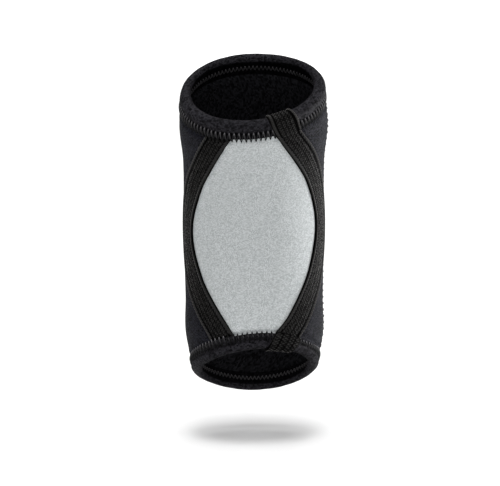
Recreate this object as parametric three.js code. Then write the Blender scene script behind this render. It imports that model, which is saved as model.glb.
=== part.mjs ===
// Bent arm sleeve of padded cloth: a dark tube with a pale lens-shaped panel in the crook of the elbow,
// a woven tape along each side of the panel and a binding folded over each rim.
// Millimetres. +Z runs up the sleeve and the crook faces -Y. The origin is inside the hollow at the elbow.

import * as THREE from 'three';

// Centreline: two legs that lean towards the crook, rounded into one another
const LEG_LENGTH = 98;
const LEG_LEAN = THREE.MathUtils.degToRad(22);

// Rims: how far each edge rises and falls around the tube, as a shift and as waves of once, twice and three
// times around (cosine and sine parts), and how far its binding reaches down the outside and the inside
const RIMS = {
  bottom: {
    along: 0,
    direction: -1,
    shift: 0.5,
    waves: [[4.15, 1.7], [-0.25, 0.8], [0.35, 0.15]],
    bindingOutside: 5.9,
    bindingInside: 8,
  },
  top: {
    along: 1,
    direction: 1,
    shift: 0,
    waves: [[-3.85, 3.05], [-0.4, 0.8], [0.1, -0.15]],
    bindingOutside: 8.5,
    bindingInside: 9,
  },
};

// Thicknesses, and the gap between neighbouring pieces
const WALL = 5;
const BINDING_THICKNESS = 1.2;
const TAPE_THICKNESS = 1.2;
const GAP = 0.3;

// Tapes
const TAPE_WIDTH = 16;
const TAPE_TUCK = 9;
const TAPE_CLIMB = 5;

// Outer skin: half width and half depth of the tube from the bottom rim (0) to the top rim (1)
const SECTIONS = [
  { along: 0.0, halfWidth: 41.2, halfDepth: 42.5 },
  { along: 0.12, halfWidth: 45.9, halfDepth: 43.6 },
  { along: 0.25, halfWidth: 46.0, halfDepth: 44.4 },
  { along: 0.5, halfWidth: 47.1, halfDepth: 44.0 },
  { along: 0.75, halfWidth: 47.0, halfDepth: 46.0 },
  { along: 0.88, halfWidth: 49.2, halfDepth: 47.3 },
  { along: 1.0, halfWidth: 46.5, halfDepth: 48.5 },
];

// Seams: degrees around the tube from the middle of the crook, to the left, to the right and at the side
const SEAMS = [
  { along: -0.1, left: 18.3, right: 18.4, side: 88 },
  { along: 0.0, left: 25.4, right: 26.0, side: 89 },
  { along: 0.1, left: 35.0, right: 38.5, side: 91 },
  { along: 0.3, left: 57.2, right: 59.6, side: 97 },
  { along: 0.5, left: 68.7, right: 68.8, side: 100 },
  { along: 0.7, left: 56.6, right: 57.3, side: 97 },
  { along: 0.9, left: 32.9, right: 32.3, side: 91 },
  { along: 1.0, left: 22.4, right: 23.2, side: 89 },
  { along: 1.1, left: 15.8, right: 19.5, side: 88 },
];

// How finely each piece is divided
const WALL_ROWS = 20;
const WRAP_COLUMNS = 36;
const SIDE_COLUMNS = 6;
const PANEL_COLUMNS = 14;
const TAPE_STATIONS = 36;
const TAPE_STRIPS = 4;
const FOLD_STATIONS = 7;
const TUCK_STATIONS = 3;
const BINDING_COLUMNS = 52;
const EDGE_STEPS = 4;
const BINDING_EDGE_STEPS = 5;

// Small step for measuring how fast the skin runs along the tube
const MEASURE_STEP = 1e-3;

// Finishes
const FINISHES = {
  body: { color: 0x2b2b30, roughness: 0.92, metalness: 0 },
  panel: { color: 0xbabfbf, roughness: 0.95, metalness: 0 },
  tape: { color: 0x2d2b2a, roughness: 0.85, metalness: 0 },
  binding: { color: 0x242327, roughness: 0.9, metalness: 0 },
};

const lowerLeg = new THREE.Vector3(0, Math.sin(LEG_LEAN), Math.cos(LEG_LEAN)).multiplyScalar(LEG_LENGTH);
const upperLeg = new THREE.Vector3(0, -Math.sin(LEG_LEAN), Math.cos(LEG_LEAN)).multiplyScalar(LEG_LENGTH);

// Corner where the legs would meet, placed so that the middle of the rounded line is the origin
const corner = new THREE.Vector3().subVectors(lowerLeg, upperLeg).multiplyScalar(0.25);
const centreline = new THREE.QuadraticBezierCurve3(
  corner.clone().sub(lowerLeg),
  corner,
  corner.clone().add(upperLeg),
);

// Reads one column of a table smoothly between its rows, and straight on past its ends
function readTable(rows, column, along) {
  const last = rows.length - 1;
  const place = THREE.MathUtils.clamp(along, rows[0].along, rows[last].along);
  let index = 0;
  while (index < last - 1 && rows[index + 1].along <= place) {
    index += 1;
  }
  const slopeAt = (row) => {
    const before = rows[Math.max(row - 1, 0)];
    const after = rows[Math.min(row + 1, last)];
    return (after[column] - before[column]) / (after.along - before.along);
  };
  const from = rows[index];
  const to = rows[index + 1];
  const length = to.along - from.along;
  const share = (place - from.along) / length;
  const rise = share * share * (3 - 2 * share);
  const leave = share * (1 - share) * (1 - share) * length * slopeAt(index);
  const arrive = share * share * (share - 1) * length * slopeAt(index + 1);
  const onward = (along - place) * slopeAt(along < place ? 0 : last);
  return from[column] + (to[column] - from[column]) * rise + leave + arrive + onward;
}

// A point at a height over the outer skin: angle 0 is the middle of the crook, positive to the right
function tubePoint(along, angle, height) {
  const centre = centreline.getPoint(along);
  const axis = lowerLeg.clone().lerp(upperLeg, along).normalize();
  const back = new THREE.Vector3(0, axis.z, -axis.y);
  const halfWidth = readTable(SECTIONS, 'halfWidth', along);
  const halfDepth = readTable(SECTIONS, 'halfDepth', along);
  const sideways = Math.sin(angle);
  const forward = Math.cos(angle);
  const slope = Math.hypot(sideways / halfWidth, forward / halfDepth);
  const right = sideways * (halfWidth + height / (halfWidth * slope));
  const front = forward * (halfDepth + height / (halfDepth * slope));
  return centre.addScaledVector(back, -front).setX(right);
}

// Millimetres of skin for each unit along the tube, at a rim
function stretchAt(rim, angle) {
  const before = tubePoint(rim.along - MEASURE_STEP, angle, 0);
  const after = tubePoint(rim.along + MEASURE_STEP, angle, 0);
  return after.distanceTo(before) / (2 * MEASURE_STEP);
}

function rimAlong(rim, angle) {
  let lift = rim.shift;
  rim.waves.forEach(([cosine, sine], index) => {
    const turned = (index + 1) * angle;
    lift += cosine * Math.cos(turned) + sine * Math.sin(turned);
  });
  return rim.along + lift / stretchAt(rim, angle);
}

// Place along the tube for a share of the way from the bottom rim to the top rim
function alongAtShare(share, angle) {
  return THREE.MathUtils.lerp(rimAlong(RIMS.bottom, angle), rimAlong(RIMS.top, angle), share);
}

// Place along the tube for a distance inside a rim
function alongFromRim(rim, distance, angle) {
  return rimAlong(rim, angle) - (rim.direction * distance) / stretchAt(rim, angle);
}

// Angle of a seam in radians
function seamAngle(column, share) {
  return THREE.MathUtils.degToRad(readTable(SEAMS, column, share));
}

// Closed solid from a loop of points carried through stations, joined into a ring or capped at both ends.
// Point i of a loop faces point (count - 1 - i) across the thickness, so a cap is a strip between two halves.
function sweptSolid(stationCount, loopCount, isRing, pointAt) {
  const positions = [];
  for (let station = 0; station < stationCount; station += 1) {
    for (let item = 0; item < loopCount; item += 1) {
      positions.push(...pointAt(station, item).toArray());
    }
  }
  const triangles = [];
  const addQuad = (a, b, c, d) => triangles.push(a, b, c, a, c, d);
  const index = (station, item) => (station % stationCount) * loopCount + (item % loopCount);
  const spans = isRing ? stationCount : stationCount - 1;
  for (let station = 0; station < spans; station += 1) {
    for (let item = 0; item < loopCount; item += 1) {
      addQuad(
        index(station, item),
        index(station + 1, item),
        index(station + 1, item + 1),
        index(station, item + 1),
      );
    }
  }
  if (!isRing) {
    const end = stationCount - 1;
    for (let item = 0; item < loopCount / 2 - 1; item += 1) {
      const across = loopCount - 1 - item;
      addQuad(index(0, item), index(0, item + 1), index(0, across - 1), index(0, across));
      addQuad(index(end, item), index(end, across), index(end, across - 1), index(end, item + 1));
    }
  }
  const geometry = new THREE.BufferGeometry();
  geometry.setAttribute('position', new THREE.Float32BufferAttribute(positions, 3));
  geometry.setIndex(signedVolume(positions, triangles) < 0 ? triangles.reverse() : triangles);
  geometry.computeVertexNormals();
  return geometry;
}

function signedVolume(positions, triangles) {
  const corners = [new THREE.Vector3(), new THREE.Vector3(), new THREE.Vector3()];
  let volume = 0;
  for (let start = 0; start < triangles.length; start += 3) {
    corners.forEach((point, offset) => point.fromArray(positions, 3 * triangles[start + offset]));
    volume += corners[0].dot(corners[1].clone().cross(corners[2])) / 6;
  }
  return volume;
}

// Loop around the thickness of the wall: up the outer skin, over the rounded top edge and down the inner skin
function wallLoop() {
  const radius = WALL / 2;
  const edge = [];
  for (let step = 0; step < EDGE_STEPS / 2; step += 1) {
    const turn = ((step + 0.5) * Math.PI) / EDGE_STEPS;
    edge.push({ past: radius * Math.sin(turn), height: radius * (Math.cos(turn) - 1) });
  }
  const outer = [];
  for (const step of [...edge].reverse()) {
    outer.push({ share: 0, past: -step.past, height: step.height });
  }
  for (let row = 0; row <= WALL_ROWS; row += 1) {
    const even = row / WALL_ROWS;
    const crowded = (1 - Math.cos(Math.PI * even)) / 2;
    outer.push({ share: (even + crowded) / 2, past: 0, height: 0 });
  }
  for (const step of edge) {
    outer.push({ share: 1, past: step.past, height: step.height });
  }
  const inner = outer.map((item) => ({ ...item, height: -WALL - item.height })).reverse();
  return [...outer, ...inner];
}

// Part of the tube's wall between two edges, each given as an angle for a share of the way up
function wallPiece(columns, firstEdge, lastEdge) {
  const loop = wallLoop();
  return sweptSolid(columns + 1, loop.length, false, (station, item) => {
    const { share, past, height } = loop[item];
    const angle = THREE.MathUtils.lerp(firstEdge(share), lastEdge(share), station / columns);
    const stretch = stretchAt(share < 0.5 ? RIMS.bottom : RIMS.top, angle);
    return tubePoint(alongAtShare(share, angle) + past / stretch, angle, height);
  });
}

// Half of the gap along a seam, as an angle
function halfGapAngle(share) {
  return GAP / 2 / readTable(SECTIONS, 'halfWidth', share);
}

function crookPanel() {
  return wallPiece(
    PANEL_COLUMNS,
    (share) => -seamAngle('left', share) + halfGapAngle(share),
    (share) => seamAngle('right', share) - halfGapAngle(share),
  );
}

function bodySide() {
  return wallPiece(
    SIDE_COLUMNS,
    (share) => seamAngle('right', share) + halfGapAngle(share),
    (share) => seamAngle('side', share) - halfGapAngle(share),
  );
}

function bodyWrap() {
  return wallPiece(
    WRAP_COLUMNS,
    (share) => seamAngle('side', share) + halfGapAngle(share),
    (share) => 2 * Math.PI - seamAngle('left', share) - halfGapAngle(share),
  );
}

// A point at a distance past the middle of a rim's rounded edge, at a clearance from the wall.
// Negative distances lie on the outer skin, then the path turns over the edge and runs down the inner skin.
function overRim(rim, distance, angle, clearance) {
  const radius = WALL / 2;
  const turnLength = Math.PI * (radius + clearance);
  if (distance <= 0) {
    return tubePoint(alongFromRim(rim, -distance, angle), angle, clearance);
  }
  if (distance >= turnLength) {
    return tubePoint(alongFromRim(rim, distance - turnLength, angle), angle, -WALL - clearance);
  }
  const turn = distance / (radius + clearance);
  const past = (radius + clearance) * Math.sin(turn);
  const height = (radius + clearance) * Math.cos(turn) - radius;
  return tubePoint(alongFromRim(rim, -past, angle), angle, height);
}

// Strip of cloth folded over a rim
function binding(rim) {
  const face = (clearance) => {
    const turnLength = Math.PI * (WALL / 2 + clearance);
    const points = [];
    points.push({ distance: -rim.bindingOutside, clearance });
    points.push({ distance: -rim.bindingOutside / 2, clearance });
    for (let step = 0; step <= BINDING_EDGE_STEPS; step += 1) {
      points.push({ distance: (turnLength * step) / BINDING_EDGE_STEPS, clearance });
    }
    points.push({ distance: turnLength + rim.bindingInside / 2, clearance });
    points.push({ distance: turnLength + rim.bindingInside, clearance });
    return points;
  };
  const loop = [...face(GAP + BINDING_THICKNESS), ...face(GAP).reverse()];
  return sweptSolid(BINDING_COLUMNS, loop.length, true, (station, item) => {
    const angle = (2 * Math.PI * station) / BINDING_COLUMNS;
    return overRim(rim, loop[item].distance, angle, loop[item].clearance);
  });
}

// Angles across a tape at a share of the way up, widened where the tape runs at a slant
function tapeAngles(side, column, share) {
  const centre = seamAngle(column, share);
  const before = share - MEASURE_STEP;
  const after = share + MEASURE_STEP;
  const turn = (seamAngle(column, after) - seamAngle(column, before)) / (after - before);
  const radius = readTable(SECTIONS, 'halfWidth', share);
  const run = tubePoint(after, side * centre, 0).distanceTo(tubePoint(before, side * centre, 0));
  const length = run / (after - before);
  const slant = Math.hypot(1, (turn * radius) / length);
  const angles = [];
  for (let strip = 0; strip <= TAPE_STRIPS; strip += 1) {
    const across = TAPE_WIDTH * (strip / TAPE_STRIPS - 0.5);
    angles.push(side * (centre + (across * slant) / radius));
  }
  return angles;
}

// Solid of a tape from its stations, each holding a place finder for an angle and a clearance
function tapeSolid(stations) {
  const strips = TAPE_STRIPS + 1;
  return sweptSolid(stations.length, 2 * strips, false, (station, item) => {
    const { angles, pointAt } = stations[station];
    const isOuter = item < strips;
    const angle = angles[isOuter ? item : 2 * strips - 1 - item];
    return pointAt(angle, isOuter ? GAP + TAPE_THICKNESS : GAP);
  });
}

// Left tape: lies on the skin and ends at both bindings
function leftTape() {
  const stations = [];
  for (let step = 0; step <= TAPE_STATIONS; step += 1) {
    const portion = step / TAPE_STATIONS;
    const middle = -seamAngle('left', portion);
    const start = RIMS.bottom.bindingOutside + GAP;
    const finish = RIMS.top.bindingOutside + GAP;
    const placeAt = (angle) => THREE.MathUtils.lerp(
      alongFromRim(RIMS.bottom, start, angle),
      alongFromRim(RIMS.top, finish, angle),
      portion,
    );
    const share = (placeAt(middle) - rimAlong(RIMS.bottom, middle))
      / (rimAlong(RIMS.top, middle) - rimAlong(RIMS.bottom, middle));
    stations.push({
      angles: tapeAngles(-1, 'left', share),
      pointAt: (angle, clearance) => tubePoint(placeAt(angle), angle, clearance),
    });
  }
  return tapeSolid(stations);
}

// Right tape: climbs over both bindings, folds over the rims and ends inside the hollow
function rightTape() {
  const lift = BINDING_THICKNESS + GAP;
  const fold = (rim) => {
    const turnLength = Math.PI * (WALL / 2 + lift + GAP);
    const stretch = stretchAt(rim, seamAngle('right', rim.along));
    const distances = [];
    for (let step = 1; step <= FOLD_STATIONS; step += 1) {
      distances.push((turnLength * step) / FOLD_STATIONS);
    }
    for (let step = 1; step <= TUCK_STATIONS; step += 1) {
      distances.push(turnLength + (TAPE_TUCK * step) / TUCK_STATIONS);
    }
    return distances.map((distance) => ({
      angles: tapeAngles(1, 'right', rim.along + (rim.direction * distance) / stretch),
      pointAt: (angle, clearance) => {
        const ownTurn = Math.PI * (WALL / 2 + lift + clearance);
        const turned = (Math.min(distance, turnLength) * ownTurn) / turnLength;
        const tucked = Math.max(distance - turnLength, 0);
        return overRim(rim, turned + tucked, angle, lift + clearance);
      },
    }));
  };
  const outside = [];
  for (let step = 0; step <= TAPE_STATIONS; step += 1) {
    const share = step / TAPE_STATIONS;
    outside.push({
      angles: tapeAngles(1, 'right', share),
      pointAt: (angle, clearance) => {
        const along = alongAtShare(share, angle);
        let climb = 0;
        for (const rim of [RIMS.bottom, RIMS.top]) {
          const inside = rim.direction * (rimAlong(rim, angle) - along) * stretchAt(rim, angle);
          const clear = rim.bindingOutside + GAP;
          climb += lift * (1 - THREE.MathUtils.smoothstep(inside, clear, clear + TAPE_CLIMB));
        }
        return tubePoint(along, angle, climb + clearance);
      },
    });
  }
  return tapeSolid([...fold(RIMS.bottom).reverse(), ...outside, ...fold(RIMS.top)]);
}

const PIECES = [
  { name: 'body_wrap', finish: 'body', geometry: bodyWrap() },
  { name: 'body_side', finish: 'body', geometry: bodySide() },
  { name: 'crook_panel', finish: 'panel', geometry: crookPanel() },
  { name: 'left_tape', finish: 'tape', geometry: leftTape() },
  { name: 'right_tape', finish: 'tape', geometry: rightTape() },
  { name: 'top_binding', finish: 'binding', geometry: binding(RIMS.top) },
  { name: 'bottom_binding', finish: 'binding', geometry: binding(RIMS.bottom) },
];

const sleeve = new THREE.Group();
sleeve.name = 'arm_sleeve';
for (const piece of PIECES) {
  const mesh = new THREE.Mesh(piece.geometry, new THREE.MeshStandardMaterial(FINISHES[piece.finish]));
  mesh.name = piece.name;
  sleeve.add(mesh);
}

export default sleeve;
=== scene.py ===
"""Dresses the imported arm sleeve: padded cloth walls, woven tapes, folded bindings and their stitching.

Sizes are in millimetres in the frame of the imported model, and become metres when a mesh is made.
+Z runs up the sleeve, the crook of the elbow faces -Y, and the origin is inside the hollow.
"""
import math

import bpy
import numpy as np
from mathutils import Matrix, Vector


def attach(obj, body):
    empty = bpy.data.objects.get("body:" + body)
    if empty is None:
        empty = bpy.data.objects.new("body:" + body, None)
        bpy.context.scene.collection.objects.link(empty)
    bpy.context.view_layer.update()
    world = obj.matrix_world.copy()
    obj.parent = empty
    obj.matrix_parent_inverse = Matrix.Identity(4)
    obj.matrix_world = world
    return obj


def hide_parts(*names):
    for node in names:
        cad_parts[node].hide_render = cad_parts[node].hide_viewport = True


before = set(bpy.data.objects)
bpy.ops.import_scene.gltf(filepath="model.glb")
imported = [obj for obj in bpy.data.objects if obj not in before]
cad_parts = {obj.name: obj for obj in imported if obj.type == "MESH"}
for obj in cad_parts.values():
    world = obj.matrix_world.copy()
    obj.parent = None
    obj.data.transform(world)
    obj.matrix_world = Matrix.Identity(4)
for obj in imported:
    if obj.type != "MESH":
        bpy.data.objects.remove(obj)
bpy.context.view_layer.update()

METRES = 0.001
FULL_TURN = 2.0 * math.pi

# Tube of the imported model: centreline, sections, seams and rims
LEG_LENGTH = 98.0
LEG_LEAN = math.radians(22.0)
WALL = 5.0
MEASURE_STEP = 1e-3
SECTIONS = [
    ("along", "half_width", "half_depth"),
    (0.0, 41.2, 42.5),
    (0.12, 45.9, 43.6),
    (0.25, 46.0, 44.4),
    (0.5, 47.1, 44.0),
    (0.75, 47.0, 46.0),
    (0.88, 49.2, 47.3),
    (1.0, 46.5, 48.5),
]
SEAMS = [
    ("along", "left", "right", "side"),
    (-0.1, 18.3, 18.4, 88.0),
    (0.0, 25.4, 26.0, 89.0),
    (0.1, 35.0, 38.5, 91.0),
    (0.3, 57.2, 59.6, 97.0),
    (0.5, 68.7, 68.8, 100.0),
    (0.7, 56.6, 57.3, 97.0),
    (0.9, 32.9, 32.3, 91.0),
    (1.0, 22.4, 23.2, 89.0),
    (1.1, 15.8, 19.5, 88.0),
]
SIDES = {"left": -1.0, "right": 1.0}

# Rims: rise and fall of the edge as a shift and as cosine and sine waves of once, twice and three times
# around, reach of the binding outside and inside, the two needle lines of each zigzag, stitches around the
# rim, how far the inner and outer edges of the right tape shift outward where its end folds over the rim, how
# much narrower the binding gets beside that end, how dark the painted shade is on its stitched band and on
# the underside of its lip, and places and spreads in degrees around the rim where the inner half of the lip
# is slimmer
BOTTOM = {
    "along": 0.0, "direction": -1.0, "shift": 0.5, "waves": ((4.15, 1.7), (-0.25, 0.8), (0.35, 0.15)),
    "outside": 5.9, "inside": 8.2, "needle_out": (0.3, 7.2), "needle_in": (2.7, 5.3),
    "periods": 87, "fold_shift": (0.4, 1.8), "narrowing": 3.2, "band_painted_shade": 0.35, "under_painted_shade": 0.5,
    "slim": ((-132.0, 43.0), (132.0, 43.0)),
}
TOP = {
    "along": 1.0, "direction": 1.0, "shift": 0.0, "waves": ((-3.85, 3.05), (-0.4, 0.8), (0.1, -0.15)),
    "outside": 8.5, "inside": 10.2, "needle_out": (3.7, 10.8), "needle_in": (4.1, 7.1),
    "periods": 98, "fold_shift": (0.2, 1.8), "narrowing": 0.0, "band_painted_shade": 1.0, "under_painted_shade": 0.0,
    "slim": ((-118.0, 42.0), (130.0, 30.0)),
}
RIMS = (BOTTOM, TOP)

# Padded walls: piece, node, slot, columns, and for both edges a seam, its side, the shift off it and whole
# turns; then points over a rim, crowding of rows and columns near the edges, ridges and grooves around the
# tapes, the side seam and the rims as height, place and spread, low uneven waves, painted shade that darkens
# the lining towards the bottom, and a painted shadow line beside the bindings
WALLS = [
    ("wrap_cloth", "body_wrap", "body_cloth", 180, ("side", 1.0, 1.0, 0.0), ("left", -1.0, -1.0, 1.0)),
    ("side_cloth", "body_side", "body_cloth", 60, ("right", 1.0, 1.0, 0.0), ("side", 1.0, -1.0, 0.0)),
    ("panel_cloth", "crook_panel", "crook_cloth", 90, ("left", -1.0, 1.0, 0.0), ("right", 1.0, -1.0, 0.0)),
]
RIM_STEPS = 4
WALL_ROWS = 150
ROW_CROWDING = 0.5
COLUMN_CROWDING = 0.4
SEAM_GAP = 0.2
SEAM_DIP = (-0.75, 0.0, 1.5)
BED_EDGE = (7.4, 9.6)
BED_BULGE = (0.22, 10.8, 2.2)
RIM_EDGE_GROOVE = (-0.55, 0.9, 0.9)
RIM_NEEDLE_GROOVE = (-0.35, 0.0, 0.8)
RIM_BULGE = (0.3, 3.2, 2.0)
BODY_WAVES = {"seed": 5, "counts": (3, 5, 8, 13), "size": 0.25}
LINING_PAINTED_SHADE = 0.6
LINING_PAINTED_FADE = (0.25, 0.55)
EDGE_SHADOW = (0.92, 0.5, 0.8)

# Bindings: heights over the skin outside, and below it inside, where stitches press the hem into the wall
LIP_HEIGHT = 1.45
LIP_SLIMMING = 1.05
BAND_HEIGHT = 1.2
EDGE_HEIGHT = 0.3
EDGE_ROUND = 0.9
BINDING_UNDER = 0.1
HEM_HEIGHT = -0.9
HEM_UNDER = -1.5
HEM_RECESS = 1.6
HEM_START = (-0.5, 2.0)
HEM_STOP = (-0.5, 2.2)
LIP_WAVES = {"seed": 11, "counts": (7, 12, 19, 31), "size": 0.22}
LAP_LIFT = 0.75
NEEDLE_GROOVE = 0.75
NEEDLE_SPREAD = 0.8
STITCH_VALLEY = 0.4
NARROW_PLACE = math.radians(52.0)
NARROW_SPREAD = math.radians(24.0)
BINDING_STATIONS = 10

# Tapes: run over and under the bindings, woven face, grooves and selvage as height, place and spread
TAPE_WIDTH = 16.0
TAPE_ROUND = 0.8
TAPE_STATIONS = 430
TAPE_TUCK = 9.0
TAPE_SPREAD = {"left": 0.38, "right": 0.2}
SPREAD_PLACES = (0.33, 0.67)
SPREAD_REACH = 0.1
LEFT_TAPE_ENDS = (0.018, 0.967)
TAPE_SINK = 0.7
FOLD_START = -40.0
FOLD_STEP = 0.4
FOLD_RADIUS = 2.0
END_FLATTENING = 0.36
TAPE_CLIMB = 2.0
TAPE_BED = 0.3
TAPE_HEIGHT = 1.45
TAPE_UNDER = -0.4
TAPE_LIFT = 1.65
TAPE_LENGTH = 150.0
WEAVE_CELL = 1.2
WEAVE_HEIGHT = 0.13
YARN_WIDTH = 0.95
YARN_LENGTH = 0.85
RIB_PITCH = 2.7
RIB_HEIGHT = 0.06
FIELD_REACH = 5.2
OUTER_ROW = 6.2
OUTER_GROOVE = (0.55, OUTER_ROW, 0.6)
INNER_ROW = 5.7
INNER_GROOVE = (0.35, -INNER_ROW, 0.45)
SELVAGE = (0.12, 7.3, 0.4)
SELVAGE_PITCH = 1.3
SUNK_DEPTH = 0.35

# Threads: thickness of the zigzags and their painted light (highlights at the upper turns, one leg lighter
# than the other, shade down to black at the lower turns, a least painted light for the hem thread, and near
# black over the panel), run of the side seam, and stitches along the tapes, painted dark in their grooves
THREAD_RADIUS = 0.36
THREAD_SIDES = 6
ZIGZAG_STEPS = 8
PAINTED_LEG_LIGHT = (0.22, 0.06)
HEM_THREAD_LEAST_LIGHT = 0.3
PANEL_THREAD_SHADE = 0.02
OUTWARD_STEP = 0.5
SEAM_ENDS = (0.045, 0.945)
SEAM_LENGTH = 176.0
SEAM_PERIOD = 4.1
SEAM_WIDTH = 5.4
LOCK_PITCH = 2.4
LOCK_LENGTH = 1.9
LOCK_SLANT = 0.35
LOCK_RADIUS = 0.26
LOCK_PAINTED_SHADE = 0.1
LOCK_START = 0.05
LOCK_SPAN = 0.885

# Cloths: colours of dark and pale loops, spread of the grain (a small one is strong), width and height of a
# loop, depth of the bump and gloss
CLOTHS = {
    "body_cloth": ((0.0003, 0.0003, 0.0005), (0.0131, 0.0134, 0.0212), 0.28, 0.7, 0.6, 0.25, 0.08),
    "lining_cloth": ((0.0008, 0.0008, 0.001), (0.02, 0.02, 0.0236), 0.4, 1.2, 1.0, 0.3, 0.05),
    "crook_cloth": ((0.36, 0.381, 0.386), (0.57, 0.596, 0.6), 0.33, 0.7, 0.6, 0.12, 0.1),
    "binding_cloth": ((0.002, 0.0019, 0.0024), (0.0215, 0.0205, 0.025), 0.34, 1.1, 0.9, 0.25, 0.06),
}

# Tape stripes as place across and brightness, from the panel outward: the dark edge by the panel and the dark
# grooves are painted shade, and the pale strips are partly the yarn's own colour and partly painted
# highlight;
# and how plain the edge strips are
TAPE_STRIPES_AND_PAINTED_LIGHT = [
    (0.0, 0.1), (0.025, 0.1), (0.045, 1.6), (0.125, 1.6), (0.14, 0.15), (0.195, 0.15), (0.21, 1.2),
    (0.325, 1.2), (0.34, 0.25), (0.365, 0.25), (0.38, 1.2), (0.485, 1.2), (0.5, 0.25), (0.525, 0.25),
    (0.54, 1.2), (0.635, 1.2), (0.65, 0.25), (0.675, 0.25), (0.69, 1.2), (0.785, 1.2), (0.8, 0.05),
    (0.905, 0.05), (0.92, 3.4), (0.975, 3.4), (1.0, 0.2),
]
ZONE_SCALE = 5.0
PLAIN_STRIPS = [(0.2, 0.8), (0.21, 0.0), (0.785, 0.0), (0.8, 0.8)]
PLAIN_LEVEL = 0.52

# Floor and lights: strengths, spreads and tilts in degrees; floor and side light in metres
FLOOR_REACH = 12.0
FLOOR_LEVEL = -0.1395
SURROUND_LIGHT = 0.2
FRONT_LIGHT = 0.47
BACKDROP_LIGHT = 1.3
BACKDROP_EDGE = (0.98, 0.99)
OVERHEAD_SUN = 1.75
OVERHEAD_SPREAD = 48.0
OVERHEAD_TILT = 4.5
STRIP_SUN = 1.75
STRIP_SPREAD = 18.0
STRIP_TILTS = (-22.0, -14.0, -6.0, 2.0, 10.0, 18.0, 26.0)
SIDE_LIGHT = 8.8
SIDE_PLACE = (0.88, 0.356, -0.03)
SIDE_SIZE = (0.45, 0.2)

LOWER_LEG = LEG_LENGTH * np.array([math.sin(LEG_LEAN), math.cos(LEG_LEAN)])
UPPER_LEG = LEG_LENGTH * np.array([-math.sin(LEG_LEAN), math.cos(LEG_LEAN)])
CORNER = (LOWER_LEG - UPPER_LEG) / 4.0


def join(*arrays):
    return np.concatenate(arrays)


def ease(value, low, high):
    share = np.clip((value - low) / (high - low), 0.0, 1.0)
    return share * share * (3.0 - 2.0 * share)


def bell(value, spread):
    return np.exp(-np.square(value / spread))


def ridge(value, height, place, spread):
    """Height of a soft ridge, or of a groove where the height is below zero."""
    return height * bell(value - place, spread)


def read_table(table, column, along):
    """Reads one column smoothly between its rows, and straight on past its ends."""
    rows = np.array(table[1:])
    places = rows[:, 0]
    values = rows[:, table[0].index(column)]
    row = np.arange(len(rows))
    before = np.maximum(row - 1, 0)
    after = np.minimum(row + 1, len(rows) - 1)
    slopes = (values[after] - values[before]) / (places[after] - places[before])
    place = np.clip(along, places[0], places[-1])
    index = np.clip(np.searchsorted(places, place, side="right") - 1, 0, len(rows) - 2)
    length = places[index + 1] - places[index]
    share = (place - places[index]) / length
    rise = share * share * (3.0 - 2.0 * share)
    leave = share * (1.0 - share) ** 2 * length * slopes[index]
    arrive = share * share * (share - 1.0) * length * slopes[index + 1]
    onward = (along - place) * np.where(along < place, slopes[0], slopes[-1])
    return values[index] + (values[index + 1] - values[index]) * rise + leave + arrive + onward


def half_width(along):
    return read_table(SECTIONS, "half_width", along)


def tube_point(along, angle, height):
    """A point at a height over the outer skin; angle 0 is the middle of the crook, positive to the right."""
    along, angle, height = np.broadcast_arrays(along, angle, height)
    far = 1.0 - along
    centre_y, centre_z = (
        far * far * start + 2.0 * far * along * corner + along * along * finish
        for start, corner, finish in zip(CORNER - LOWER_LEG, CORNER, CORNER + UPPER_LEG))
    axis_y, axis_z = (far * lower + along * upper for lower, upper in zip(LOWER_LEG, UPPER_LEG))
    length = np.hypot(axis_y, axis_z)
    width = half_width(along)
    depth = read_table(SECTIONS, "half_depth", along)
    sideways = np.sin(angle)
    forward = np.cos(angle)
    slope = np.hypot(sideways / width, forward / depth)
    right = sideways * (width + height / (width * slope))
    front = forward * (depth + height / (depth * slope))
    return np.stack([right, centre_y - front * axis_z / length, centre_z + front * axis_y / length], axis=-1)


def stretch_at(rim, angle):
    """Millimetres of skin for each unit along the tube, at a rim."""
    before = tube_point(rim["along"] - MEASURE_STEP, angle, 0.0)
    after = tube_point(rim["along"] + MEASURE_STEP, angle, 0.0)
    return np.linalg.norm(after - before, axis=-1) / (2.0 * MEASURE_STEP)


def rim_along(rim, angle):
    lift = rim["shift"]
    for times, (cosine, sine) in enumerate(rim["waves"], start=1):
        lift = lift + cosine * np.cos(times * angle) + sine * np.sin(times * angle)
    return rim["along"] + lift / stretch_at(rim, angle)


def along_from_rim(rim, distance, angle):
    return rim_along(rim, angle) - rim["direction"] * distance / stretch_at(rim, angle)


def along_at_share(share, angle):
    low = rim_along(BOTTOM, angle)
    return low + share * (rim_along(TOP, angle) - low)


def share_at_along(along, angle):
    low = rim_along(BOTTOM, angle)
    return (along - low) / (rim_along(TOP, angle) - low)


def distance_inside(rim, along, angle):
    return rim["direction"] * (rim_along(rim, angle) - along) * stretch_at(rim, angle)


def rim_point(rim, reach, turn, angle, height):
    """A point over a rim: down the outside (turn 0), round the edge, or down the inside (turn pi)."""
    radius = WALL / 2.0 + height
    along = along_from_rim(rim, reach - radius * np.sin(turn), angle)
    return tube_point(along, angle, radius * np.cos(turn) - WALL / 2.0)


def front_angle(angle):
    """The same angle between half a turn to the left and half a turn to the right of the crook."""
    return (angle + math.pi) % FULL_TURN - math.pi


def narrowing(rim, angle):
    """How much narrower a binding is outside, beside the folded end of the right tape."""
    return rim["narrowing"] * bell(front_angle(angle) - NARROW_PLACE, NARROW_SPREAD)


def outer_edge(rim, angle):
    """Reach of a binding outside."""
    return rim["outside"] - narrowing(rim, angle)


def needle_lines(rim, angle):
    """The two needle lines of the zigzag outside."""
    near, far = rim["needle_out"]
    return near, far - narrowing(rim, angle)


def seam_angle(column, share):
    return np.radians(read_table(SEAMS, column, share))


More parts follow.
